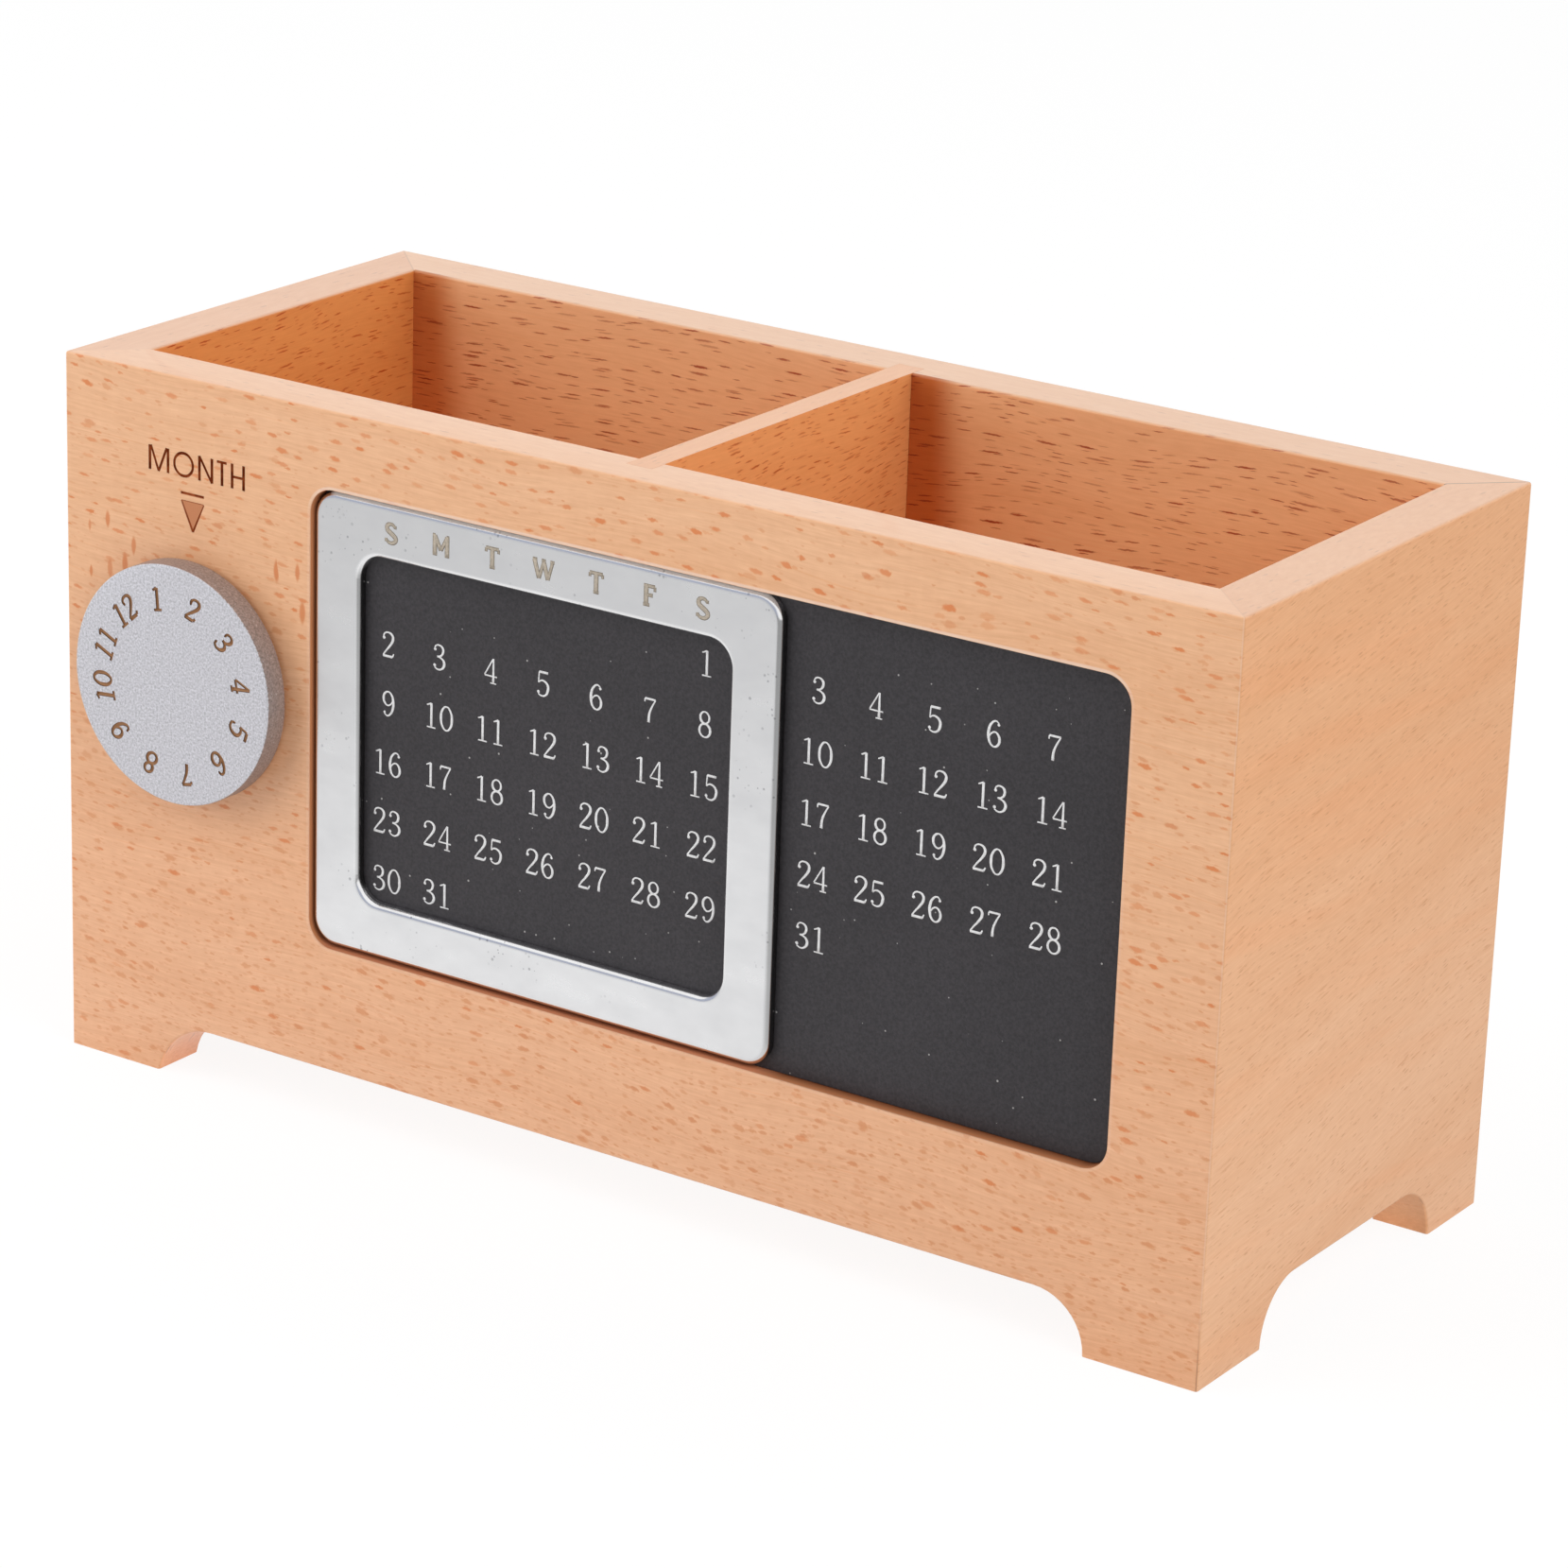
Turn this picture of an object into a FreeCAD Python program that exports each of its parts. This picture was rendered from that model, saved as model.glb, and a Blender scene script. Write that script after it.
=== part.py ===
import FreeCAD, Part
import math
import os

os.makedirs("parts", exist_ok=True)

# A beech pen box with two compartments and a perpetual calendar in its front wall. Millimetres.
# The origin is on the table, in the middle of the whole outline, dial included.
# +X runs to the right and +Y to the back, seen by someone who sits in front of it.

# Case
case_length = 200.0
case_depth = 81.0
case_height = 110.0
wall = 9.1
arris = 0.4

# Feet, left standing by an arch in each board
front_foot_left = 17.3
front_foot_right = 18.3
side_foot_front = 17.4
side_foot_back = 14.8
front_arch_height = 8.3
front_arch_reach_left = 10.3
front_arch_reach_right = 8.3
side_arch_height = 8.7
side_arch_reach = 8.7

# Bottom board in its grooves
rail_above_arch = 2.3
bottom_thickness = 4.0
groove_depth = 4.0
groove_play = 0.15

# Divider in its housings
divider_thickness = 4.3
housing_depth = 3.4
housing_play = 0.05

# Hidden tongues in the mitres
spline_thickness = 2.0
spline_width = 7.0
spline_above_floor = 6.0
spline_below_rim = 12.0
spline_play = 0.05

# Dial
dial_from_left = 24.0
dial_axis_height = 64.3
dial_radius = 18.4
dial_thickness = 4.0
dial_gap = 0.7
dial_edge = 0.25
spindle_radius = 2.5
spindle_running_clearance = 0.05
spindle_socket_depth = 2.4
spindle_past_wall = 0.2
friction_washer_radius = 8.0
friction_washer_thickness = 0.6
retaining_washer_radius = 5.5
retaining_washer_thickness = 0.8
screw_radius = 1.3
screw_length = 8.0
screw_head_radius = 2.8
screw_head_height = 1.9
screw_slot_width = 0.7
screw_slot_depth = 1.1
screw_hole_play = 0.03

# Window, number plate and magnet sheet
window_past_dial = 3.8
window_right_margin = 16.0
window_sill = 27.6
window_below_rim = 11.8
window_corner = 4.2
plate_below_face = 2.3
plate_thickness = 0.3
magnet_thickness = 0.8
plate_play = 0.1

# Sliding frame
slider_length = 81.55
slider_bar = 8.35
slider_thickness = 1.55
slider_corner = 4.0
slider_opening_corner = 3.8
slider_outer_edge = 0.95
slider_opening_edge = 0.9
slider_play_up = 0.45
slider_play_end = 0.25
slider_behind = 0.1

# Planes of the case
dial_proud = dial_gap + dial_thickness
left = -case_length / 2
right = case_length / 2
front = -(case_depth + dial_proud) / 2 + dial_proud
back = front + case_depth
inner_left = left + wall
inner_right = right - wall
inner_front = front + wall
inner_back = back - wall
floor_under = max(front_arch_height, side_arch_height) + rail_above_arch
floor_top = floor_under + bottom_thickness
beyond = 5.0

# Places on the front wall
dial_x = left + dial_from_left
window_left = dial_x + dial_radius + window_past_dial
window_right = right - window_right_margin
window_top = case_height - window_below_rim
plate_face = front + plate_below_face
magnet_face = plate_face + plate_thickness
window_floor = magnet_face + magnet_thickness
slider_back = plate_face - slider_behind
slider_front = slider_back - slider_thickness
slider_left = window_left + slider_play_end
slider_travel = window_right - window_left - slider_length - 2 * slider_play_end

parts = {}


def vector(x, y, z):
    return FreeCAD.Vector(x, y, z)


def block(x0, x1, y0, y1, z0, z1):
    """Box between two corners."""
    return Part.makeBox(x1 - x0, y1 - y0, z1 - z0, vector(x0, y0, z0))


def rod(radius, y0, y1):
    """Round bar on the dial's axis."""
    return Part.makeCylinder(radius, y1 - y0, vector(dial_x, y0, dial_axis_height), vector(0, 1, 0))


def ring(outer, inner, y0, y1):
    """Washer on the dial's axis."""
    return rod(outer, y0, y1).cut(rod(inner, y0 - beyond, y1 + beyond))


def rounded_slab(x0, x1, z0, z1, y0, y1, radius):
    """Upright slab whose four corners are rounded, seen from the front."""
    slab = block(x0, x1, y0, y1, z0, z1)
    corners = [e for e in slab.Edges if abs(e.Vertexes[0].Y - e.Vertexes[1].Y) > (y1 - y0) / 2]
    return slab.makeFillet(radius, corners)


def arch(near, far, height, near_reach, far_reach, place):
    """Outline of a foot arch. Each corner is a round stretch that comes up from the table and meets
    the rail level, its reach away from the foot; place(along, up) gives the outline's points."""
    under = -beyond

    def round_corner(foot, reach, inward):
        radius = (reach ** 2 + height ** 2) / (2 * height)
        half_turn = math.asin(reach / radius) / 2
        spring = foot + inward * reach
        halfway = place(
            spring - inward * radius * math.sin(half_turn),
            height - radius * (1 - math.cos(half_turn)))
        return Part.Arc(place(foot, 0), halfway, place(spring, height)).toShape()

    edges = [
        Part.makeLine(place(near, under), place(near, 0)),
        round_corner(near, near_reach, 1),
        Part.makeLine(place(near + near_reach, height), place(far - far_reach, height)),
        round_corner(far, far_reach, -1),
        Part.makeLine(place(far, 0), place(far, under)),
        Part.makeLine(place(far, under), place(near, under)),
    ]
    return Part.Face(Part.Wire(Part.__sortEdges__(edges)))


def make_case():
    """The four walls as one mitred ring, before it is parted into boards."""
    case = block(left, right, front, back, 0, case_height)
    case = case.cut(block(inner_left, inner_right, inner_front, inner_back, -beyond, case_height + beyond))
    front_arch = arch(
        left + front_foot_left, right - front_foot_right, front_arch_height,
        front_arch_reach_left, front_arch_reach_right,
        lambda along, up: vector(along, front - beyond, up))
    side_arch = arch(
        front + side_foot_front, back - side_foot_back, side_arch_height,
        side_arch_reach, side_arch_reach,
        lambda along, up: vector(left - beyond, along, up))
    case = case.cut(front_arch.extrude(vector(0, case_depth + 2 * beyond, 0)))
    case = case.cut(side_arch.extrude(vector(case_length + 2 * beyond, 0, 0)))
    return case.makeFillet(arris, [edge for edge in case.Edges if is_eased(edge)])


def is_eased(edge):
    """True for the rim, the upright outer corners and both edges of each arch."""
    box = edge.BoundBox
    near = 0.01
    on_rim = box.ZMin > case_height - near
    upright = box.ZLength > case_height / 2 and box.XLength < near and box.YLength < near
    outer_corner = upright and box.XMax * box.XMin > inner_right ** 2 + near
    across_board = box.ZLength < near and min(abs(box.XLength - wall), abs(box.YLength - wall)) < near
    in_arch = near < box.ZMax < case_height / 2 and not across_board
    return on_rim or outer_corner or in_arch


def mitred(x0, y0, x1, y1, x2, y2, x3, y3):
    """Prism that parts one board from the ring along its two mitres."""
    under = -beyond
    points = [vector(x0, y0, under), vector(x1, y1, under), vector(x2, y2, under), vector(x3, y3, under)]
    outline = Part.Face(Part.makePolygon(points + points[:1]))
    return outline.extrude(vector(0, 0, case_height + 2 * beyond))


def tongue(x_side, y_side, play):
    """Tongue across one mitre, or its slot when play is added."""
    centre_x = x_side * (case_length / 2 - wall / 2)
    centre_y = front + wall / 2 if y_side < 0 else back - wall / 2
    half_width = spline_width / 2 + play
    half_thickness = spline_thickness / 2 + play
    low = floor_top + spline_above_floor - play
    high = case_height - spline_below_rim + play
    body = block(-half_width, half_width, -half_thickness, half_thickness, low, high)
    body.rotate(vector(0, 0, 0), vector(0, 0, 1), -45 * x_side * y_side)
    body.translate(vector(centre_x, centre_y, 0))
    return body


# Bottom board, resting on the lower sides of its grooves
floor_reach = groove_depth - groove_play
parts["bottom_board"] = block(
    inner_left - floor_reach, inner_right + floor_reach,
    inner_front - floor_reach, inner_back + floor_reach,
    floor_under, floor_top)
groove = block(
    inner_left - groove_depth, inner_right + groove_depth,
    inner_front - groove_depth, inner_back + groove_depth,
    floor_under, floor_top + groove_play)

# Divider, standing on the bottom board, its ends in the housings
divider_half = divider_thickness / 2
divider_reach = housing_depth - housing_play
parts["divider"] = block(
    -divider_half, divider_half,
    inner_front - divider_reach, inner_back + divider_reach,
    floor_top, case_height)
housing_half = divider_half + housing_play
housing = block(
    -housing_half, housing_half,
    inner_front - housing_depth, inner_back + housing_depth,
    floor_top, case_height + beyond)

# Four wall boards, cut from one ring so that their mitres meet
case = make_case().cut(groove)
corner_names = {
    (-1, -1): "mitre_spline_front_left",
    (1, -1): "mitre_spline_front_right",
    (-1, 1): "mitre_spline_back_left",
    (1, 1): "mitre_spline_back_right",
}
for (x_side, y_side), name in corner_names.items():
    parts[name] = tongue(x_side, y_side, 0)
    case = case.cut(tongue(x_side, y_side, spline_play))

front_board = case.common(
    mitred(left, front, right, front, inner_right, inner_front, inner_left, inner_front))
back_board = case.common(
    mitred(left, back, inner_left, inner_back, inner_right, inner_back, right, back))
parts["left_panel"] = case.common(
    mitred(left, front, inner_left, inner_front, inner_left, inner_back, left, back))
parts["right_panel"] = case.common(
    mitred(right, front, right, back, inner_right, inner_back, inner_right, inner_front))
parts["back_panel"] = back_board.cut(housing)

# Front board: window, housing and the bore that the spindle turns in
window = rounded_slab(
    window_left, window_right, window_sill, window_top, front - beyond, window_floor, window_corner)
bore = rod(spindle_radius + spindle_running_clearance, front - beyond, inner_front + beyond)
parts["front_panel"] = front_board.cut(housing).cut(window).cut(bore)

# Number plate on the magnet sheet, both bonded into the window
for name, face, thickness in (
        ("magnet_sheet", magnet_face, magnet_thickness),
        ("number_plate", plate_face, plate_thickness)):
    parts[name] = rounded_slab(
        window_left + plate_play, window_right - plate_play,
        window_sill + plate_play, window_top - plate_play,
        face, face + thickness, window_corner - plate_play)

# Sliding frame, at the left end of its travel
slider_low = window_sill + slider_play_up
slider_high = window_top - slider_play_up
slider_right = slider_left + slider_length


def front_edges(solid, inset):
    """Edges of the sliding frame's front face that lie further in than inset from its outline."""
    found = []
    for edge in solid.Edges:
        box = edge.BoundBox
        in_front = box.YMax < slider_front + slider_thickness / 4
        across = slider_left + inset < box.XMin and box.XMax < slider_right - inset
        upward = slider_low + inset < box.ZMin and box.ZMax < slider_high - inset
        if in_front and across and upward:
            found.append(edge)
    return found


frame = rounded_slab(
    slider_left, slider_right, slider_low, slider_high, slider_front, slider_back, slider_corner)
frame = frame.makeFillet(slider_outer_edge, front_edges(frame, -slider_bar))
frame = frame.cut(rounded_slab(
    slider_left + slider_bar, slider_right - slider_bar,
    slider_low + slider_bar, slider_high - slider_bar,
    slider_front - beyond, slider_back + beyond, slider_opening_corner))
parts["slider_frame"] = frame.makeFillet(slider_opening_edge, front_edges(frame, slider_bar / 2))

# Dial and its spindle, glued together
dial_back = front - dial_gap
dial_front = dial_back - dial_thickness
spindle_front = dial_back - spindle_socket_depth
spindle_back = inner_front + spindle_past_wall
disc = rod(dial_radius, dial_front, dial_back)
rims = [e for e in disc.Edges if e.BoundBox.YLength < dial_thickness / 4]
disc = disc.makeFillet(dial_edge, rims)
parts["month_dial"] = disc.cut(rod(spindle_radius, spindle_front, dial_back + beyond))
head_front = spindle_back + retaining_washer_thickness
screw_tip = head_front - screw_length
screw_hole = rod(screw_radius + screw_hole_play, screw_tip - screw_hole_play, head_front)
parts["dial_spindle"] = rod(spindle_radius, spindle_front, spindle_back).cut(screw_hole)

# Felt ring that keeps the dial where it is put
parts["dial_friction_washer"] = ring(
    friction_washer_radius, spindle_radius + spindle_running_clearance,
    front - friction_washer_thickness, front)

# Washer and screw that hold the spindle from inside the left compartment
parts["dial_retaining_washer"] = ring(
    retaining_washer_radius, screw_radius + screw_hole_play, spindle_back, head_front)
head_back = head_front + screw_head_height
head = rod(screw_head_radius, head_front, head_back)
head_rim = [e for e in head.Edges if e.BoundBox.YMin > head_back - screw_head_height / 4]
head = head.makeFillet(screw_head_height / 2, head_rim)
half_slot = screw_slot_width / 2
half_cross = screw_head_radius * 0.6
slot_floor = head_back - screw_slot_depth
head = head.cut(block(
    dial_x - half_cross, dial_x + half_cross, slot_floor, head_back + beyond,
    dial_axis_height - half_slot, dial_axis_height + half_slot))
head = head.cut(block(
    dial_x - half_slot, dial_x + half_slot, slot_floor, head_back + beyond,
    dial_axis_height - half_cross, dial_axis_height + half_cross))
parts["dial_retaining_screw"] = head.fuse(rod(screw_radius, screw_tip, head_front)).removeSplitter()

for name, shape in parts.items():
    assert shape.isValid() and len(shape.Solids) == 1, name
    shape.Solids[0].exportStep("parts/" + name + ".step")

print("slider travel", round(slider_travel, 3))
print("dial axis", round(dial_x, 3), round(dial_axis_height, 3), "front face", round(front, 3))
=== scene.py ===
import math

import bpy
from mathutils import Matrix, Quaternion, Vector


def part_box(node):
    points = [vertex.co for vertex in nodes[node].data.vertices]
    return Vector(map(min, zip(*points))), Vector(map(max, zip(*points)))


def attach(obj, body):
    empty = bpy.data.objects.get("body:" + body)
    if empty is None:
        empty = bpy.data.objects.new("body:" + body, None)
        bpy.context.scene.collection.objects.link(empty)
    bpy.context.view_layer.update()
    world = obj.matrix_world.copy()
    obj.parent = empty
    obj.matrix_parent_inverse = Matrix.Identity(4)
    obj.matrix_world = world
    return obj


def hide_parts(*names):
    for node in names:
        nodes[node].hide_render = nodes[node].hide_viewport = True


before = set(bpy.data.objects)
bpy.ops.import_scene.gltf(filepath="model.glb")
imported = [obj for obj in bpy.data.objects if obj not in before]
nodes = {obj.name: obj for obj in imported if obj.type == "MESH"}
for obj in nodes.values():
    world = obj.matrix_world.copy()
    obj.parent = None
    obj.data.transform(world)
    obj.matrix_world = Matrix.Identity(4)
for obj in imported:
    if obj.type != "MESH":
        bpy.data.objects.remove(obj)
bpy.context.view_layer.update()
mm = 0.001

# The camera stands to the right of the box's front and looks a little down on it through a long
# lens. It leans by two degrees, as the photograph does.
camera_place = Vector((0.42764, -0.63777, 0.32579))
aimed_at = Vector((0.0, 0.00665, 0.05246))
camera_lean = math.radians(1.951)
bpy.ops.object.camera_add(location=camera_place)
camera = bpy.context.object
camera.data.sensor_width = 36.0
camera.data.lens = 127.42
camera.data.clip_start = 0.05
camera.data.clip_end = 30.0
camera.rotation_mode = "QUATERNION"
levelled = (aimed_at - camera_place).to_track_quat("-Z", "Y")
camera.rotation_quaternion = levelled @ Quaternion((0, 0, 1), camera_lean)
bpy.context.scene.camera = camera
bpy.context.scene.view_settings.view_transform = "Standard"


# The floor is a white sheet under a white tent. Seen directly it is white, with a soft shadow. In the
# steel it dims away from the box and to the right. Under the box it has a painted glow, though it is
# no lamp, which throws light up into the foot arches.
def colour(red, green, blue):
    """A colour as a screen shows it, 0 to 255, in the plain numbers that a shader takes."""
    shown = [value / 255 for value in (red, green, blue)]
    return tuple(v / 12.92 if v <= 0.04045 else ((v + 0.055) / 1.055) ** 2.4 for v in shown) + (1.0,)


def add(tree, kind, values=None, **settings):
    """One shader node. values gives each named input a plain value or another node's output."""
    made = tree.nodes.new("ShaderNode" + kind)
    for setting, value in settings.items():
        setattr(made, setting, value)
    for name, value in (values or {}).items():
        if isinstance(value, bpy.types.NodeSocket):
            tree.links.new(value, made.inputs[name])
        else:
            made.inputs[name].default_value = value
    return made


def sums(tree, operation, first, second=0.0, clamped=False):
    """A sum on one or two numbers, which may come from other nodes."""
    made = add(tree, "Math", {0: first, 1: second}, operation=operation, use_clamp=clamped)
    return made.outputs[0]


def remap(tree, value, low, high, to_low=0.0, to_high=1.0, smooth=False):
    """The number that falls between low and high, moved to fall between to_low and to_high."""
    kind = "SMOOTHSTEP" if smooth else "LINEAR"
    values = {"Value": value, "From Min": low, "From Max": high, "To Min": to_low, "To Max": to_high}
    return add(tree, "MapRange", values, interpolation_type=kind).outputs[0]


def mixed(tree, share, first, second, blend="MIX"):
    """Two colours mixed: share 0 is the first, 1 the second."""
    made = add(tree, "Mix", {0: share, 6: first, 7: second}, data_type="RGBA", blend_type=blend)
    return made.outputs[2]


floor_size = 14.0
half_length = 100.0
half_depth = 40.5
middle_y = 2.35
near_the_box = 0.15
far_from_it = 0.34
mirrored_near = 0.93
mirrored_far = 0.66
mirrored_at_right = 0.50
painted_glow_under_box = 0.35
glow_seen = 0.90
lit_grey = (0.8, 0.8, 0.8, 1)
shadow_grey = (0.12, 0.12, 0.12, 1)
bpy.ops.mesh.primitive_plane_add(size=floor_size, location=(0, 0, -0.05 * mm))
floor = bpy.context.object
floor.name = "floor"
white_sheet = bpy.data.materials.new("white_sheet")
white_sheet.use_nodes = True
tree = white_sheet.node_tree
tree.nodes.clear()
path = add(tree, "LightPath")
mirrored = sums(tree, "ADD", path.outputs["Is Glossy Ray"], path.outputs["Is Transmission Ray"], clamped=True)
spot = add(tree, "TexCoord").outputs["Object"]
reach = add(tree, "VectorMath", {0: spot}, operation="LENGTH").outputs["Value"]
dimming = remap(tree, reach, near_the_box, far_from_it, mirrored_near, mirrored_far, smooth=True)
to_the_right = add(tree, "SeparateXYZ", {0: spot}).outputs["X"]
right_dimming = remap(tree, to_the_right, -0.03, 0.09, 1.0, mirrored_at_right)
dimming = sums(tree, "MULTIPLY", dimming, right_dimming)
lit = add(tree, "BsdfDiffuse", {"Color": lit_grey}).outputs[0]
case_middle = (0, middle_y * mm, 0)
case_corner = (half_length * mm, half_depth * mm, 0)
past_box = add(tree, "VectorMath", {0: spot, 1: case_middle}, operation="SUBTRACT").outputs[0]
past_box = add(tree, "VectorMath", {0: past_box}, operation="ABSOLUTE").outputs[0]
past_box = add(tree, "VectorMath", {0: past_box, 1: case_corner}, operation="SUBTRACT").outputs[0]
past_x, past_y = add(tree, "SeparateXYZ", {0: past_box}).outputs[:2]
# Painted glow: the floor under the box emits light, though it is no lamp, to light the foot arches.
under_box = remap(tree, sums(tree, "MAXIMUM", past_x, past_y), 0.0, -6 * mm, 0.0, painted_glow_under_box)
painted_glow_from_below = add(tree, "Emission", {"Strength": under_box}).outputs[0]
lit = add(tree, "AddShader", {0: lit, 1: painted_glow_from_below}).outputs[0]
glow = add(tree, "Emission", {"Strength": glow_seen}).outputs[0]
shaded = add(tree, "BsdfDiffuse", {"Color": shadow_grey}).outputs[0]
seen = add(tree, "AddShader", {0: glow, 1: shaded}).outputs[0]
in_steel = add(tree, "Emission", {"Strength": dimming}).outputs[0]
for_camera = add(tree, "MixShader", {0: path.outputs["Is Camera Ray"], 1: lit, 2: seen}).outputs[0]
for_mirror = add(tree, "MixShader", {0: mirrored, 1: for_camera, 2: in_steel}).outputs[0]
add(tree, "OutputMaterial", {"Surface": for_mirror})
floor.data.materials.append(white_sheet)

# The tent's left wall is the brightest, and its right and back walls are dimmer. A grey-blue screen
# stands at the front left, where only the steel mirrors it, in its rolled edges.
left_light = 2.24
right_light = 1.22
back_light = 1.04
left_wall_top = 0.5
other_walls_top = 0.87
screen_way = Vector((-0.55, -0.83, 0.0))
screen_top = 0.50
wall_blur = 0.03
screen_tone = (0.437, 0.467, 0.564, 1)
white = (1, 1, 1, 1)
tent = bpy.data.worlds.new("tent")
bpy.context.scene.world = tent
tent.use_nodes = True
tree = tent.node_tree
tree.nodes.clear()
path = add(tree, "LightPath")
way = add(tree, "TexCoord").outputs["Generated"]
level_way = add(tree, "VectorMath", {0: way, 1: (1, 1, 0)}, operation="MULTIPLY").outputs[0]
level_way = add(tree, "VectorMath", {0: level_way}, operation="NORMALIZE").outputs[0]
height = add(tree, "SeparateXYZ", {0: way}).outputs["Z"]
above_floor = remap(tree, height, -0.07, -0.03)
tent_light = 0.0
walls = (
    ((-1, 0, 0), left_light, left_wall_top),
    ((1, 0, 0), right_light, other_walls_top),
    ((0, 1, 0), back_light, other_walls_top),
)
for facing, level, top in walls:
    towards = add(tree, "VectorMath", {0: level_way, 1: facing}, operation="DOT_PRODUCT").outputs["Value"]
    share = sums(tree, "POWER", sums(tree, "MAXIMUM", towards, 0.0), 2.0)
    under_top = remap(tree, height, top + wall_blur, top - wall_blur)
    wall = sums(tree, "MULTIPLY", sums(tree, "MULTIPLY", share, under_top), level)
    tent_light = sums(tree, "ADD", tent_light, wall)
tent_light = sums(tree, "MULTIPLY", tent_light, above_floor)
towards = add(tree, "VectorMath", {0: level_way, 1: screen_way}, operation="DOT_PRODUCT").outputs["Value"]
low_down = remap(tree, height, screen_top + 0.05, screen_top - 0.07, smooth=True)
at_front_left = remap(tree, towards, 0.30, 0.65, smooth=True)
on_screen = sums(tree, "MULTIPLY", low_down, at_front_left)
reflected = mixed(tree, on_screen, white, screen_tone)
mirrored = sums(tree, "ADD", path.outputs["Is Glossy Ray"], path.outputs["Is Transmission Ray"], clamped=True)
plain = add(tree, "CombineXYZ", {"X": tent_light, "Y": tent_light, "Z": tent_light}).outputs[0]
for_mirror = mixed(tree, mirrored, plain, reflected)
for_camera = mixed(tree, path.outputs["Is Camera Ray"], for_mirror, white)
background = add(tree, "Background", {"Color": for_camera, "Strength": 1.0})
add(tree, "OutputWorld", {"Surface": background.outputs[0]})


# Two soft lamps hang well away from the box. The stronger one is at the front left, and its shade
# lies inside the box, to the right of the divider and of the left wall.
def soft_lamp(name, place, size, power):
    """A lamp that looks at the middle of the box. size is its width and height."""
    bpy.ops.object.light_add(type="AREA", location=place)
    lamp = bpy.context.object
    lamp.name = name
    lamp.data.shape = "RECTANGLE"
    lamp.data.size, lamp.data.size_y = size
    lamp.data.energy = power
    lamp.rotation_mode = "QUATERNION"
    lamp.rotation_quaternion = (aimed_at - Vector(place)).to_track_quat("-Z", "Y")
    lamp.visible_camera = False
    lamp.visible_glossy = False


soft_lamp("left_lamp", (-0.838, -0.745, 0.888), size=(1.2, 1.9), power=12.8)
soft_lamp("right_lamp", (1.113, -0.334, 0.829), size=(0.6, 0.6), power=4.6)

# The back and end walls are planed beech boards 9.1 mm thick, mitred at the corners, glued and
# lacquered. Each board keeps its own figure. Its inner face is tinted with painted shade and bounce
# light, and its narrow faces are paled, partly as a painted sheen.
inner_x = (-90.95, 90.95)
inner_y = (-29.1, 33.8)
inner_back = (33.0, 34.2)
rim_height = 110.0
arch_height = 9.0


def noise(tree, place, size, detail=2.0, rough=0.5):
    """Soft random cloud between 0 and 1, with lumps as long as size along each axis, in mm."""
    scaled = add(tree, "VectorMath", {0: place, 1: [1 / s for s in size]}, operation="MULTIPLY")
    values = {"Vector": scaled.outputs[0], "Scale": 1.0, "Detail": detail, "Roughness": rough}
    return add(tree, "TexNoise", values).outputs[0]


def product(tree, *factors):
    """Several numbers multiplied."""
    result = factors[0]
    for factor in factors[1:]:
        result = sums(tree, "MULTIPLY", result, factor)
    return result


def within(tree, value, low, high, soft=0.02):
    """1 where the value lies between low and high, and 0 outside, with soft ends."""
    started = remap(tree, value, low - soft, low + soft)
    ended = remap(tree, value, high + soft, high - soft)
    return sums(tree, "MULTIPLY", started, ended)


def in_mm(tree):
    """The place on the piece in mm, as a vector."""
    spot = add(tree, "TexCoord").outputs["Object"]
    return add(tree, "Mapping", {"Vector": spot, "Scale": (1 / mm, 1 / mm, 1 / mm)}).outputs[0]


def places(tree):
    """The place on the piece along X, Y and Z, in mm."""
    return add(tree, "SeparateXYZ", {0: in_mm(tree)}).outputs


def multiplied(tree, tone, factors):
    """A colour times three numbers, for its red, green and blue."""
    return mixed(tree, 1.0, tone, (*factors, 1), "MULTIPLY")


def fleck_layer(tree, flat, ragged, seed, length, tall, share, slope):
    """Pointed flecks on the plane flat, one in each cell of length by tall mm that holds one. ragged
    is the cloud that frays them. Gives how much of a fleck a point is in, and a random number that
    all of one fleck shares."""
    parts = add(tree, "SeparateXYZ", {0: flat}).outputs
    tilted = sums(tree, "SUBTRACT", parts["Y"], sums(tree, "MULTIPLY", parts["X"], slope))
    place = add(tree, "CombineXYZ", {"X": parts["X"], "Y": tilted}).outputs[0]
    per_cell = (1 / length, 1 / tall, 0)
    cell = add(tree, "VectorMath", {0: place, 1: per_cell}, operation="MULTIPLY").outputs[0]
    frayed = {0: ragged, 1: (0.20, 0.30, 0), 2: cell}
    frayed = add(tree, "VectorMath", frayed, operation="MULTIPLY_ADD").outputs[0]
    elsewhere = (17.3 * seed, 5.7 * seed, 0)
    moved = add(tree, "VectorMath", {0: frayed, 1: elsewhere}, operation="ADD").outputs[0]
    values = {"Vector": moved, "Scale": 1.0, "Exponent": 1.7}
    cells = add(tree, "TexVoronoi", values, voronoi_dimensions="2D", distance="MINKOWSKI")
    dice = add(tree, "SeparateColor", {0: cells.outputs["Color"]}).outputs
    radius = remap(tree, dice[0], 0.0, 1.0, 0.13, 0.31)
    ratio = sums(tree, "DIVIDE", cells.outputs["Distance"], radius)
    fleck = remap(tree, ratio, 1.0, 0.48, smooth=True)
    present = sums(tree, "LESS_THAN", dice[1], share)
    return sums(tree, "MULTIPLY", fleck, present), dice[2]


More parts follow.
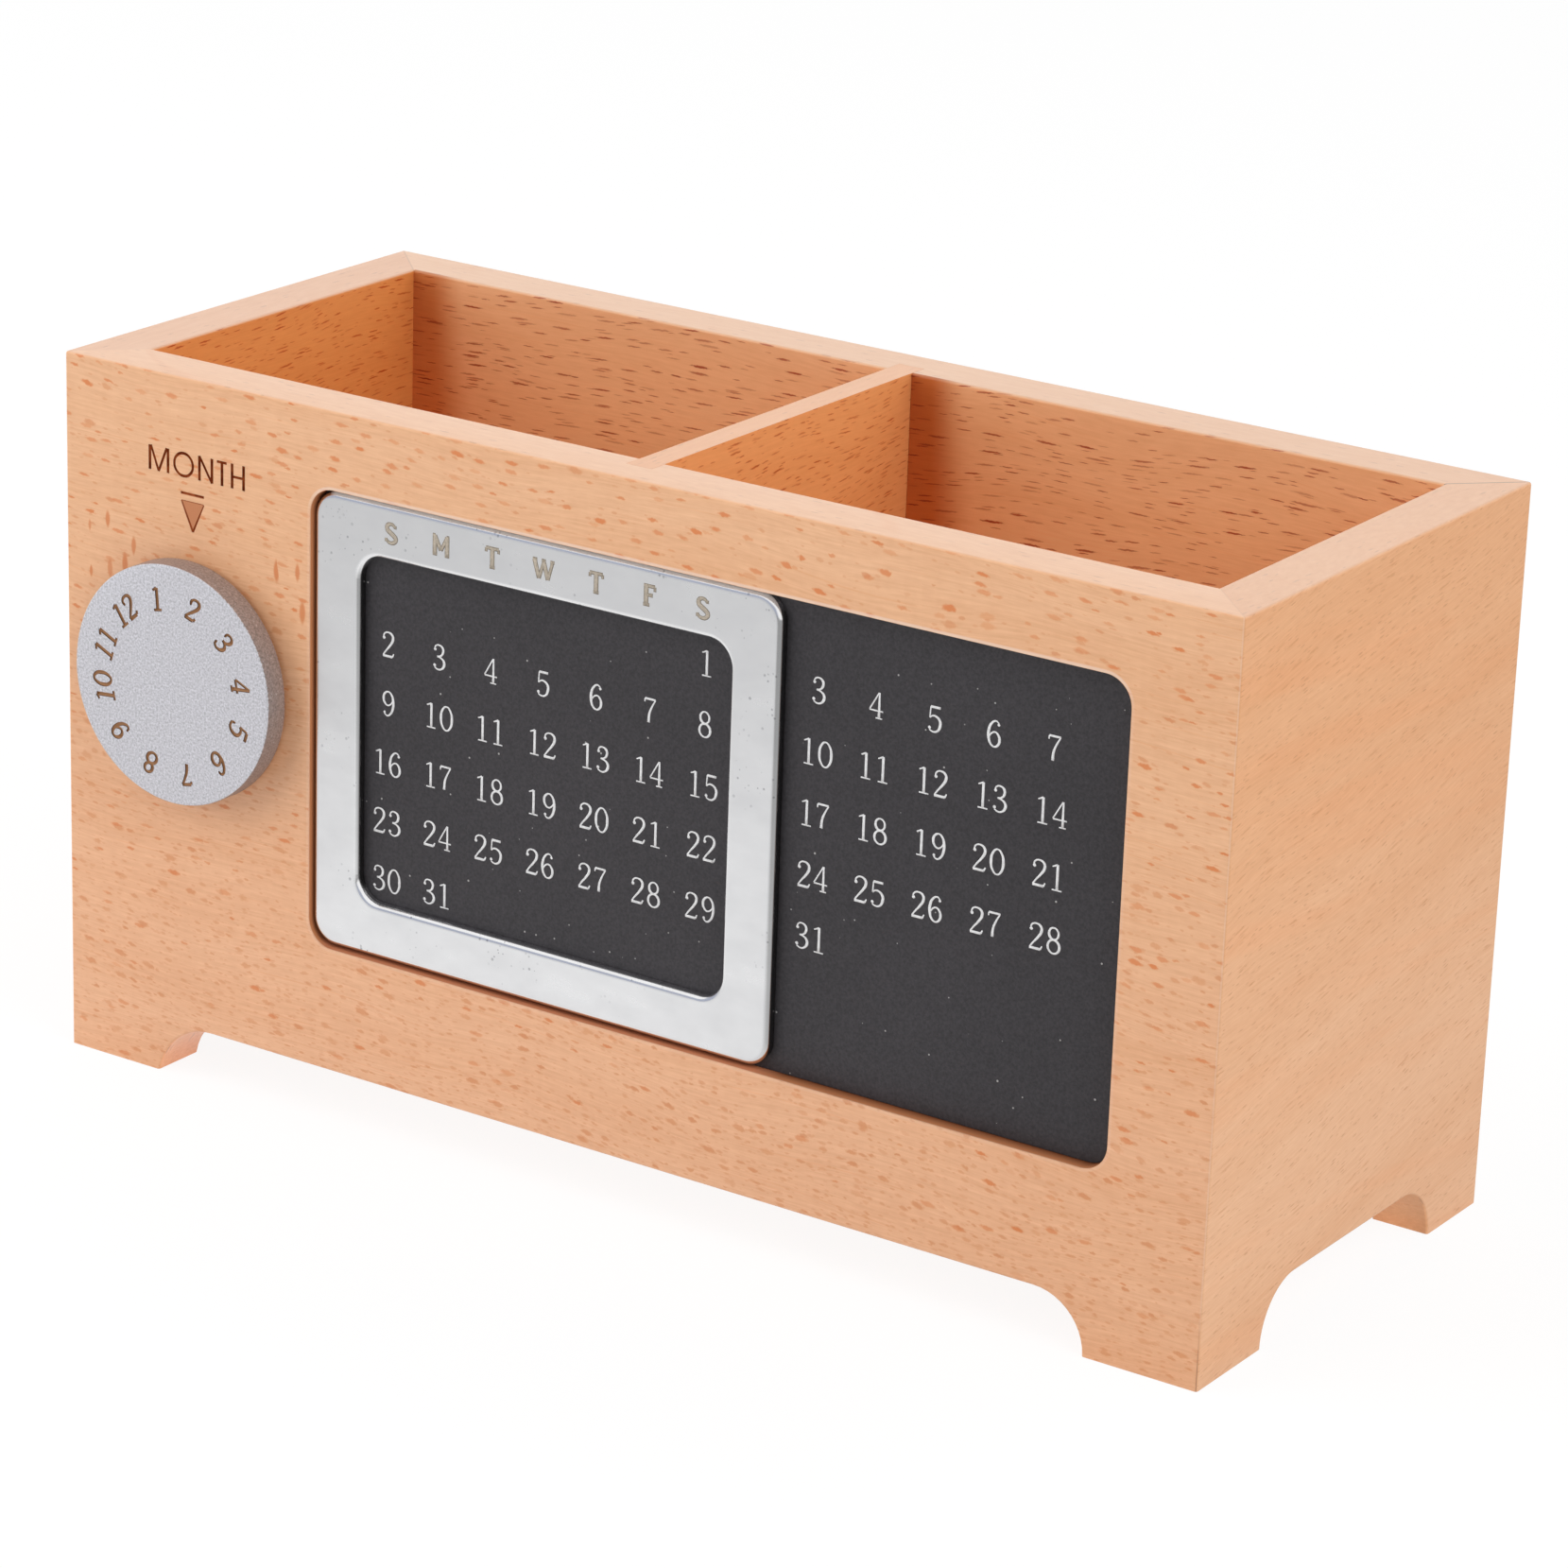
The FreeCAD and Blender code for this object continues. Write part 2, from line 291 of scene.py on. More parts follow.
def beech(name, turn, seed, foot, rim, flecks, fine, lines=0.0, ripple=0.0, inner=(1, 1, 1), lacquer=0.35):
    """Beech, laid by turn so that its grain runs along the pattern's X and its broad faces look
    along its Y. foot and rim are its colours at the two heights. flecks holds, for each kind of ray
    fleck, its cell (length, height) in mm, the share of cells with one at the foot and at the rim,
    its slope, tint and strength. fine, lines and ripple are the strength of the fibres, of the long
    growth lines and of the cross ripple, and inner multiplies the colour on the inner faces."""
    material = bpy.data.materials.new(name)
    material.use_nodes = True
    tree = material.node_tree
    shader = tree.nodes["Principled BSDF"]
    x, y, z = places(tree)
    spot = add(tree, "TexCoord").outputs
    to_mm = (1 / mm, 1 / mm, 1 / mm)
    values = {"Vector": spot["Object"], "Location": (seed, 0, 0), "Rotation": turn, "Scale": to_mm}
    laid = add(tree, "Mapping", values).outputs[0]
    facing = add(tree, "Mapping", {"Vector": spot["Normal"], "Rotation": turn}, vector_type="VECTOR")
    across = add(tree, "SeparateXYZ", {0: facing.outputs[0]}).outputs["Y"]
    broad = remap(tree, sums(tree, "ABSOLUTE", across), 0.55, 0.85)
    wander = sums(tree, "SUBTRACT", noise(tree, laid, (50, 30, 18), 1.0), 0.5)
    drift = add(tree, "CombineXYZ", {"Z": sums(tree, "MULTIPLY", wander, 7.0)}).outputs[0]
    grain = add(tree, "VectorMath", {0: laid, 1: drift}, operation="ADD").outputs[0]
    along, deep, rise = add(tree, "SeparateXYZ", {0: grain}).outputs
    wood = mixed(tree, remap(tree, z, 25.0, 95.0, smooth=True), foot, rim)
    bands = remap(tree, noise(tree, grain, (190, 60, 8), 2.0), 0.30, 0.72)
    pale_band = multiplied(tree, wood, (1.03, 1.03, 1.04))
    warm_band = multiplied(tree, wood, (0.985, 0.93, 0.875))
    wood = mixed(tree, bands, pale_band, warm_band)
    clouds = remap(tree, noise(tree, grain, (26, 14, 7), 2.0), 0.30, 0.72, 0.985, 1.015)
    fibres = noise(tree, grain, (8, 0.9, 0.28), 3.0, 0.62)
    shade = product(tree, clouds, remap(tree, fibres, 0.3, 0.7, 1.0 - 0.07 * fine, 1.0 + 0.06 * fine))
    mottle = noise(tree, grain, (2.6, 1.0, 0.6), 2.0)
    shade = product(tree, shade, remap(tree, mottle, 0.3, 0.7, 1.0 - 0.035 * fine, 1.0 + 0.03 * fine))
    crossing = noise(tree, laid, (1.1, 9, 14), 1.0)
    shade = product(tree, shade, remap(tree, crossing, 0.3, 0.7, 1.0 - ripple, 1.0 + ripple))
    warm_shade = [sums(tree, "POWER", shade, depth) for depth in (0.6, 1.0, 1.35)]
    tone = add(tree, "CombineColor", dict(enumerate(warm_shade))).outputs[0]
    wood = mixed(tree, 1.0, wood, tone, "MULTIPLY")
    growth = sums(tree, "DIVIDE", sums(tree, "ADD", rise, sums(tree, "MULTIPLY", along, 0.035)), 3.4)
    ring = add(tree, "TexVoronoi", {"W": growth, "Scale": 1.0}, voronoi_dimensions="1D")
    on_line = remap(tree, ring.outputs["Distance"], 0.035, 0.010)
    broken = remap(tree, noise(tree, grain, (22, 9, 1.5), 1.0), 0.48, 0.60)
    dark_line = multiplied(tree, wood, (0.95, 0.80, 0.66))
    wood = mixed(tree, product(tree, on_line, broken, lines), wood, dark_line)
    flat = add(tree, "CombineXYZ", {"X": along, "Y": rise}).outputs[0]
    ragged = add(tree, "TexNoise", {"Vector": grain, "Scale": 1.6, "Detail": 2.0}).outputs["Color"]
    ragged = add(tree, "VectorMath", {0: ragged, 1: (0.5, 0.5, 0.5)}, operation="SUBTRACT").outputs[0]
    hollows = 0.0
    for layer, (length, tall, at_foot, at_rim, slope, tint, strength) in enumerate(flecks):
        share = remap(tree, z, 10.0, 105.0, at_foot, at_rim)
        fleck, chance = fleck_layer(tree, flat, ragged, layer + 1, length, tall, share, slope)
        amount = product(tree, fleck, remap(tree, chance, 0.0, 1.0, 0.35 * strength, strength), broad)
        wood = mixed(tree, amount, wood, tint)
        hollows = sums(tree, "ADD", hollows, amount)
    # Painted shade and bounce light: the inner faces get their colour multiplied by inner.
    inside = product(tree, within(tree, x, *inner_x), within(tree, y, *inner_y))
    wood = mixed(tree, inside, wood, multiplied(tree, wood, inner))
    edge = add(tree, "CombineXYZ", {"X": along, "Y": deep}).outputs[0]
    dash, chance = fleck_layer(tree, edge, ragged, seed=9, length=4.0, tall=0.9, share=0.35, slope=0.0)
    narrow = sums(tree, "SUBTRACT", 1.0, broad)
    above_arch = remap(tree, z, arch_height, arch_height + 3.0)
    # Narrow faces above the arches, the rim among them, are paled: partly paler edge grain, partly a painted
    # sheen.
    wood = mixed(tree, product(tree, narrow, above_arch, 0.35), wood, colour(240, 205, 180))
    # Painted light: narrow faces in the foot arches are warmed and lightened, against the shade under the
    # box.
    in_arch = product(tree, narrow, sums(tree, "LESS_THAN", z, arch_height))
    wood = mixed(tree, in_arch, wood, multiplied(tree, wood, (1.09, 1.0, 0.90)))
    dash_strength = remap(tree, z, arch_height + 0.2, arch_height, 0.35, 0.7)
    dashes = product(tree, dash, chance, narrow, dash_strength)
    wood = mixed(tree, dashes, wood, colour(170, 125, 105))
    tree.links.new(wood, shader.inputs["Base Color"])
    gloss = remap(tree, fibres, 0.3, 0.7, 0.44, 0.36)
    tree.links.new(gloss, shader.inputs["Roughness"])
    relief = sums(tree, "SUBTRACT", fibres, sums(tree, "MULTIPLY", hollows, 0.6))
    bump = add(tree, "Bump", {"Height": relief, "Strength": 0.25, "Distance": 0.02 * mm})
    tree.links.new(bump.outputs[0], shader.inputs["Normal"])
    shader.inputs["Coat Weight"].default_value = lacquer
    shader.inputs["Coat Roughness"].default_value = 0.30
    return material


def stain(material, share, tint):
    """Lays a tint over a finish, as far as share says."""
    tree = material.node_tree
    base = tree.nodes["Principled BSDF"].inputs["Base Color"]
    tree.links.new(mixed(tree, share, base.links[0].from_socket, tint), base)


def tinted(material, share, factors):
    """Multiplies a finish's colour by three numbers, as far as share says."""
    tree = material.node_tree
    base = tree.nodes["Principled BSDF"].inputs["Base Color"]
    stain(material, share, multiplied(tree, base.links[0].from_socket, factors))


def glue_line(material):
    """Marks the thin line where two mitred boards meet on the rim."""
    tree = material.node_tree
    x, y, z = places(tree)
    from_end = sums(tree, "SUBTRACT", half_length, sums(tree, "ABSOLUTE", x))
    off_middle = sums(tree, "ABSOLUTE", sums(tree, "SUBTRACT", y, middle_y))
    from_side = sums(tree, "SUBTRACT", half_depth, off_middle)
    apart = sums(tree, "ABSOLUTE", sums(tree, "SUBTRACT", from_end, from_side))
    line = remap(tree, apart, 0.22, 0.10)
    at_back_right = product(tree, remap(tree, x, 60, 70, 0.25, 1.0), remap(tree, y, 0, 10, 0.10, 1.0))
    on_rim = sums(tree, "GREATER_THAN", z, rim_height - 0.2)
    stain(material, product(tree, line, on_rim, at_back_right, 0.8), colour(120, 100, 92))


def finish(piece, material):
    """Gives a piece its finish, in place of any other."""
    piece.data.materials.clear()
    piece.data.materials.append(material)


along_x = (0, 0, 0)
along_y = (0, 0, math.radians(-90))
rising_back = (math.radians(-9), 0, math.radians(-90))
# Painted shade and bounce light inside the box: warmer inner faces, the left wall's darker and more orange,
# the back wall's lighter.
inner_tone = (1.03, 0.93, 0.80)
left_inner_tone = (0.97, 0.71, 0.36)
back_inner_tone = (1.09, 1.06, 0.97)
end_flecks = (
    (3.0, 0.52, 0.45, 0.55, 0.0, colour(196, 130, 84), 0.62),
    (7.0, 0.80, 0.20, 0.50, 0.0, colour(204, 136, 84), 0.52),
)
right_beech = beech("right_board_beech", rising_back, 31, colour(234, 184, 143), colour(232, 175, 128),
                    end_flecks, fine=1.1, lines=0.4, inner=inner_tone)
tree = right_beech.node_tree
x, y, z = places(tree)
lifted = sums(tree, "ADD", z, sums(tree, "MULTIPLY", y, 0.09))
warm_place = add(tree, "CombineXYZ", {"X": x, "Y": y, "Z": lifted}).outputs[0]
warm = remap(tree, noise(tree, warm_place, (60, 90, 6), 2.0), 0.50, 0.66)
tinted(right_beech, warm, (1.01, 0.965, 0.93))
# Painted light: the end of the right board's foot arch is lightened and paled.
between_faces = within(tree, x, 90.0, 99.8)
arch_end_painted_light = product(tree, between_faces, within(tree, y, 18.0, 29.0), within(tree, z, -1.0, 8.8))
tinted(right_beech, arch_end_painted_light, (1.03, 1.11, 1.15))
left_flecks = (
    (6.0, 0.60, 0.50, 0.50, 0.04, colour(180, 76, 10), 1.00),
    (3.6, 0.50, 0.40, 0.40, 0.04, colour(188, 88, 18), 0.85),
)
left_beech = beech("left_board_beech", along_y, 260, colour(229, 178, 140), colour(228, 172, 130),
                   left_flecks, fine=0.9, inner=left_inner_tone)
back_flecks = (
    (8.6, 0.70, 0.50, 0.50, 0.03, colour(154, 46, 8), 0.95),
    (6.0, 0.50, 0.34, 0.34, 0.04, colour(160, 54, 12), 0.85),
)
back_beech = beech("back_board_beech", along_x, 470, colour(232, 181, 141), colour(232, 181, 139),
                   back_flecks, fine=0.9, lines=0.3, inner=back_inner_tone)
tree = back_beech.node_tree
x, y, z = places(tree)
on_inner_face = within(tree, y, *inner_back)
# Painted shadow: the back wall's inner face is darkened beside the left wall and the divider, where the left
# lamp's shade falls.
left_corner = -90.9
divider_corner = 2.15
for corner, dark in ((left_corner, (0.69, 0.41, 0.24)), (divider_corner, (0.60, 0.29, 0.13))):
    shade_width = remap(tree, z, 105.0, 70.0, 9.0, 14.0)
    from_corner = sums(tree, "DIVIDE", sums(tree, "SUBTRACT", x, corner), shade_width)
    fading = remap(tree, from_corner, 1.15, 0.35, smooth=True)
    painted_shadow = product(tree, fading, sums(tree, "GREATER_THAN", from_corner, 0.0), on_inner_face)
    tinted(back_beech, painted_shadow, dark)
# Painted light: the back wall's inner face is lightened towards the bottom of the box.
tinted(back_beech, product(tree, remap(tree, z, 107.0, 83.0), on_inner_face), (1.18, 1.22, 1.20))
for board, wood in (("back_panel", back_beech), ("left_panel", left_beech), ("right_panel", right_beech)):
    finish(nodes[board], wood)
    glue_line(wood)


# The front board is beech too, calmer at the rim than at the foot. MONTH, a bar and a pointer are
# burnt into it over the dial, and its window is routed out. The cut has painted shade that deepens
# inwards, and painted light on its top wall and on the sill under the frame.
def pick(piece):
    """Selects one piece alone, for the operators to work on."""
    bpy.ops.object.select_all(action="DESELECT")
    piece.select_set(True)
    bpy.context.view_layer.objects.active = piece


def faces_outwards():
    """Turns all faces of the picked piece outwards, after its doubles are merged."""
    bpy.ops.object.mode_set(mode="EDIT")
    bpy.ops.mesh.select_all(action="SELECT")
    bpy.ops.mesh.remove_doubles(threshold=0.0005 * mm)
    bpy.ops.mesh.normals_make_consistent(inside=False)
    bpy.ops.object.mode_set(mode="OBJECT")


def drawn(name, marks, roundness, face, fullness=1):
    """Strokes laid on the plane y = face as one mesh. A mark is a list of paths of (x, y, half
    width), then its centre on the face in mm, its height and its turn clockwise. roundness is how
    deep a stroke is for its width, and fullness how round its section is."""
    curve = bpy.data.curves.new(name, "CURVE")
    curve.dimensions = "3D"
    curve.bevel_depth = mm
    curve.bevel_resolution = fullness
    curve.resolution_u = 4
    curve.use_fill_caps = True
    for paths, centre_x, centre_z, height, turn in marks:
        cosine, sine = math.cos(turn), math.sin(turn)
        for path in paths:
            closed = path[0] == path[-1]
            corners = path[:-1] if closed else path
            spline = curve.splines.new("BEZIER")
            spline.bezier_points.add(len(corners) - 1)
            spline.use_cyclic_u = closed
            for point, (x, y, half_width) in zip(spline.bezier_points, corners):
                across = centre_x + (x * cosine + y * sine) * height
                up = centre_z + (y * cosine - x * sine) * height
                point.co = (across * mm, up * mm, 0)
                point.radius = max(half_width, 0.002) * height
                point.handle_left_type = "AUTO"
                point.handle_right_type = "AUTO"
    piece = bpy.data.objects.new(name, curve)
    bpy.context.collection.objects.link(piece)
    pick(piece)
    bpy.ops.object.convert(target="MESH")
    piece = bpy.context.object
    piece.location = (0, face * mm, 0)
    piece.rotation_euler = (math.radians(90), 0, 0)
    piece.scale = (1, 1, roundness)
    bpy.ops.object.transform_apply(location=True, rotation=True, scale=True)
    faces_outwards()
    return piece


def worked_copy(name, node, cutters):
    """A copy of a CAD node's mesh with the cutters taken out of it. The copy stands for the node."""
    piece = bpy.data.objects.new(name, nodes[node].data.copy())
    bpy.context.collection.objects.link(piece)
    pick(piece)
    bpy.ops.object.mode_set(mode="EDIT")
    bpy.ops.mesh.select_all(action="SELECT")
    bpy.ops.mesh.remove_doubles(threshold=0.001 * mm)
    bpy.ops.object.mode_set(mode="OBJECT")
    bpy.ops.mesh.customdata_custom_splitnormals_clear()
    for cutter in cutters:
        cut = piece.modifiers.new(cutter.name, "BOOLEAN")
        cut.operation = "DIFFERENCE"
        cut.solver = "EXACT"
        cut.use_self = True
        cut.object = cutter
        bpy.ops.object.modifier_apply(modifier=cut.name)
        bpy.data.objects.remove(cutter)
    bpy.ops.object.shade_smooth_by_angle(angle=math.radians(30))
    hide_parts(node)
    return piece


front_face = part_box("front_panel")[0][1] / mm
left_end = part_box("front_panel")[0][0] / mm
stem = 0.265
hair = 0.21
slant = 0.22
word_foot = 94.95
word_top = 98.7
turns = [step * math.pi / 4 for step in range(8)]
ring = [(22.5 + 1.75 * math.sin(turn), 96.8 + 1.72 * math.cos(turn), 0.23) for turn in turns]
word_paths = [
    [(16.1, word_foot, stem), (16.1, word_top, stem)], [(19.55, word_foot, stem), (19.55, word_top, stem)],
    [(16.3, word_top, slant), (17.75, word_foot, slant)],
    [(17.75, word_foot, slant), (19.3, word_top, slant)],
    ring + [ring[0]],
    [(25.5, word_foot, stem), (25.5, word_top, stem)], [(27.85, word_foot, stem), (27.85, word_top, stem)],
    [(25.5, word_top, slant), (27.85, word_foot, slant)],
    [(28.8, 98.5, hair), (30.65, 98.5, hair)], [(29.75, 98.5, stem), (29.75, word_foot, stem)],
    [(31.65, word_foot, stem), (31.65, word_top, stem)], [(33.8, word_foot, stem), (33.8, word_top, stem)],
    [(31.65, 96.75, hair), (33.8, 96.75, hair)],
]
arrow_left = 22.05
arrow_right = 26.3
arrow_top = 91.35
arrow_tip = (24.2, 86.85)
arrow_depth = 0.06
arrow_paths = [
    [(arrow_left, arrow_top, 0.14), (*arrow_tip, 0.22)],
    [(arrow_right, arrow_top, 0.14), (*arrow_tip, 0.22)],
    [(arrow_left, arrow_top, 0.12), (arrow_right, arrow_top, 0.12)],
]
bar_paths = [[(21.95, 92.5, 0.26), (26.35, 92.5, 0.26)]]
burnt_word = drawn("burnt_word", [(word_paths, left_end, 0, 1, 0)], 0.9, front_face, fullness=2)
burnt_arrow = drawn("burnt_arrow", [(arrow_paths, left_end, 0, 1, 0)], 0.8, front_face, fullness=2)
burnt_bar = drawn("burnt_bar", [(bar_paths, left_end, 0, 1, 0)], 0.45, front_face, fullness=2)
bpy.ops.mesh.primitive_cylinder_add(vertices=3, radius=mm, depth=mm)
burnt_face = bpy.context.object
burnt_face.name = "burnt_face"
clear_of_face = 0.5
arrow_corners = [(arrow_left, arrow_top), (arrow_right, arrow_top), arrow_tip]
rows = {True: [], False: []}
for vertex in burnt_face.data.vertices:
    rows[vertex.co.z > 0].append(vertex)
for front_row, vertices in rows.items():
    vertices.sort(key=lambda vertex: math.atan2(vertex.co.y, vertex.co.x))
    for vertex, (u, z) in zip(vertices, arrow_corners[::-1]):
        depth = -clear_of_face if front_row else arrow_depth
        vertex.co = ((left_end + u) * mm, (front_face + depth) * mm, z * mm)
pick(burnt_face)
faces_outwards()

front_flecks = (
    (5.2, 2.0, 0.36, 0.06, -0.10, colour(224, 142, 88), 0.85),
    (3.4, 1.2, 0.70, 0.12, -0.08, colour(226, 148, 98), 0.75),
    (2.2, 0.75, 0.80, 0.20, -0.05, colour(228, 154, 106), 0.65),
    (5.2, 1.6, 0.12, 0.62, -0.06, colour(228, 134, 72), 1.00),
)
front_beech = beech("front_board_beech", along_x, 0, colour(243, 187, 145), colour(240, 186, 142),
                    front_flecks, fine=1.3, lines=0.5, ripple=0.012, inner=inner_tone)
glue_line(front_beech)
tree = front_beech.node_tree
x, y, z = places(tree)
depth = sums(tree, "SUBTRACT", y, front_face)
deepest_cut = 6.0
near_front = sums(tree, "LESS_THAN", depth, deepest_cut)
outer_face = sums(tree, "LESS_THAN", depth, 0.05)
left_of_dial = within(tree, x, -97.0, -86.5)
right_of_dial = within(tree, x, -64.0, -54.5)
either_side = sums(tree, "ADD", left_of_dial, right_of_dial)
beside_dial = product(tree, either_side, within(tree, z, 74.0, 89.0, soft=3.0), outer_face)
upright = add(tree, "CombineXYZ", {"X": x, "Y": z}).outputs[0]
flame, chance = fleck_layer(tree, upright, (0, 0, 0), seed=23, length=2.4, tall=7.5, share=0.70, slope=0.0)
at_left = sums(tree, "LESS_THAN", x, -75.0)
kept = sums(tree, "MAXIMUM", at_left, sums(tree, "GREATER_THAN", chance, 0.75))
flame = product(tree, flame, beside_dial, kept, remap(tree, chance, 0.0, 1.0, 0.7, 1.0))
stain(front_beech, flame, colour(224, 136, 78))
beside_word = product(tree, within(tree, x, -87.0, -63.0), within(tree, z, 86.0, 99.5))
scorch = product(tree, beside_word, remap(tree, depth, 0.01, 0.04), near_front)
in_word = remap(tree, z, 94.0, 94.5)
deep_burn = sums(tree, "MAXIMUM", remap(tree, depth, 0.075, 0.10), in_word)
uneven = remap(tree, noise(tree, in_mm(tree), (1.1, 5, 1.1)), 0.35, 0.65)
deep_tone = mixed(tree, uneven, colour(158, 78, 40), colour(112, 42, 16))
burnt = mixed(tree, deep_burn, colour(203, 136, 98), deep_tone)
stain(front_beech, scorch, burnt)
in_window = product(tree, within(tree, x, -54.0, 84.2), within(tree, z, 27.4, 98.4))
routed = product(tree, in_window, remap(tree, depth, 0.10, 0.30), near_front)
# Painted shade: the routed cut darkens with depth into the window.
cut_painted_shading = mixed(tree, remap(tree, depth, 0.3, 2.4), colour(205, 135, 92), colour(120, 68, 42))
# Painted light: the sill under the frame is lightened against the frame's shadow.
sill_painted_light = product(tree, remap(tree, z, 28.4, 27.9), remap(tree, x, 30.0, 26.0))
cut_painted_shading = mixed(tree, sill_painted_light, cut_painted_shading, colour(202, 130, 94))
# Painted light: the window's top wall, which faces down, is painted near white, so the steel's rolled edge
# mirrors it pale.
cut_painted_shading = mixed(tree, remap(tree, z, 97.7, 98.1), cut_painted_shading, colour(255, 244, 236))
stain(front_beech, routed, cut_painted_shading)
bare = sums(tree, "SUBTRACT", 1.0, sums(tree, "MAXIMUM", scorch, routed))
shader = tree.nodes["Principled BSDF"]
tree.links.new(sums(tree, "MULTIPLY", bare, 0.35), shader.inputs["Coat Weight"])
tree.links.new(remap(tree, bare, 0.0, 1.0, 0.03, 0.5), shader.inputs["Specular IOR Level"])
# Painted highlight: a pale line round the window's edge, strongest along the top.
window_radius = 4.2
past_corner = []
for measured, middle, half_size in ((x, 15.1, 68.9), (z, 62.9, 35.3)):
    apart = sums(tree, "ABSOLUTE", sums(tree, "SUBTRACT", measured, middle))
    past = sums(tree, "SUBTRACT", apart, half_size - window_radius)
    past_corner.append(sums(tree, "MAXIMUM", past, 0.0))
to_edge = add(tree, "CombineXYZ", {"X": past_corner[0], "Y": past_corner[1]})
to_edge = add(tree, "VectorMath", {0: to_edge.outputs[0]}, operation="LENGTH").outputs["Value"]
to_edge = sums(tree, "SUBTRACT", to_edge, window_radius)
beside_edge = within(tree, to_edge, 0.02, 0.45, soft=0.10)
painted_highlight_edge = product(tree, beside_edge, remap(tree, z, 94.5, 97.9, 0.15, 0.75))
stain(front_beech, product(tree, painted_highlight_edge, remap(tree, depth, 0.2, 0.1)), colour(247, 216, 196))
mitre_edge = product(tree, sums(tree, "GREATER_THAN", x, 99.75), remap(tree, z, 11.0, 3.0))
stain(front_beech, product(tree, mitre_edge, 0.5), colour(110, 62, 40))
# Painted highlight: a pale line on the front right arris, above the foot.
painted_arris_highlight = product(tree, sums(tree, "GREATER_THAN", x, 99.72), remap(tree, z, 8.0, 14.0))
stain(front_beech, product(tree, painted_arris_highlight, 0.25), colour(247, 216, 192))
front_board = worked_copy("front_board", "front_panel", (burnt_word, burnt_arrow, burnt_bar, burnt_face))
finish(front_board, front_beech)
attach(front_board, "case")

# The divider is a thin beech board let into the front and back walls and flush with the rim.
# Its faces are flecked like the left wall's.
divider_beech = beech("divider_beech", along_y, 640, colour(235, 163, 101), colour(235, 163, 101),
                      left_flecks, fine=0.9)
finish(nodes["divider"], divider_beech)

# The bottom board is bare beech that slides into grooves in the four walls. The tongues glued
# into the mitres, which can't be seen, are cut from the same stock.
lying = (math.radians(90), 0, 0)
bottom_beech = beech("bottom_beech", lying, 830, colour(222, 168, 122), colour(222, 168, 122),
                     back_flecks, fine=1.0, lacquer=0.0)
finish(nodes["bottom_board"], bottom_beech)
for corner in ("front_left", "front_right", "back_left", "back_right"):
    finish(nodes["mitre_spline_" + corner], bottom_beech)


# The number plate is a thin sheet of matt black plastic at the bottom of the window, on a sheet of
# magnet rubber. Dust lies on it. The days 1 to 31 are printed on it in pale ink.
def plain_finish(name, rough, metal=0.0):
    """A finish that has its roughness, and gets its colour from coloured."""
    material = bpy.data.materials.new(name)
    material.use_nodes = True
    shader = material.node_tree.nodes["Principled BSDF"]
    shader.inputs["Roughness"].default_value = rough
    shader.inputs["Metallic"].default_value = metal
    return material


def shaded_tone(tree, tone, shade):
    """A colour made lighter or darker by a number."""
    grey = add(tree, "CombineColor", {0: shade, 1: shade, 2: shade}).outputs[0]
    return mixed(tree, 1.0, tone, grey, "MULTIPLY")


def specks(tree, place, pitch, smallest, largest, share):
    """Round specks, one in each cell of pitch mm that holds one. Their sizes are radii in mm."""
    scaled = add(tree, "VectorMath", {0: place, 1: (1 / pitch,) * 3}, operation="MULTIPLY").outputs[0]
    cells = add(tree, "TexVoronoi", {"Vector": scaled, "Scale": 1.0})
    dice = add(tree, "SeparateColor", {0: cells.outputs["Color"]}).outputs
    radius = remap(tree, dice[0], 0.0, 1.0, smallest / pitch, largest / pitch)
    ratio = sums(tree, "DIVIDE", cells.outputs["Distance"], radius)
    return product(tree, remap(tree, ratio, 1.0, 0.6), sums(tree, "LESS_THAN", dice[1], share))


def coloured(material, tone):
    """Gives a finish a worked-out colour."""
    tree = material.node_tree
    tree.links.new(tone, tree.nodes["Principled BSDF"].inputs["Base Color"])


def bumped(material, height, depth):
    """Raises a finish by height times depth, which is in mm."""
    tree = material.node_tree
    bump = add(tree, "Bump", {"Height": height, "Strength": 1.0, "Distance": depth * mm})
    tree.links.new(bump.outputs[0], tree.nodes["Principled BSDF"].inputs["Normal"])


plate_finish = plain_finish("matt_black_plate", 0.6)
tree = plate_finish.node_tree
place = in_mm(tree)
smudges = noise(tree, place, (30, 30, 30), 3.0)
black = shaded_tone(tree, colour(54, 51, 54), remap(tree, smudges, 0.3, 0.7, 0.92, 1.08))
grit = noise(tree, place, (0.45, 0.45, 0.45), 2.0, 0.7)
black = shaded_tone(tree, black, remap(tree, grit, 0.3, 0.7, 0.70, 1.30))
dust = specks(tree, place, pitch=2.6, smallest=0.06, largest=0.20, share=0.32)
coloured(plate_finish, mixed(tree, product(tree, dust, 0.85), black, colour(190, 188, 186)))
bumped(plate_finish, noise(tree, place, (0.25, 0.25, 0.25), 1.0), 0.004)
finish(nodes["number_plate"], plate_finish)

rubber = plain_finish("magnet_rubber_brown", 0.75)
tree = rubber.node_tree
rubber_grain = noise(tree, in_mm(tree), (0.4, 0.4, 0.4), 2.0)
rubber_shade = remap(tree, rubber_grain, 0.3, 0.7, 0.85, 1.15)
coloured(rubber, shaded_tone(tree, colour(52, 47, 44), rubber_shade))
bumped(rubber, rubber_grain, 0.02)
finish(nodes["magnet_sheet"], rubber)

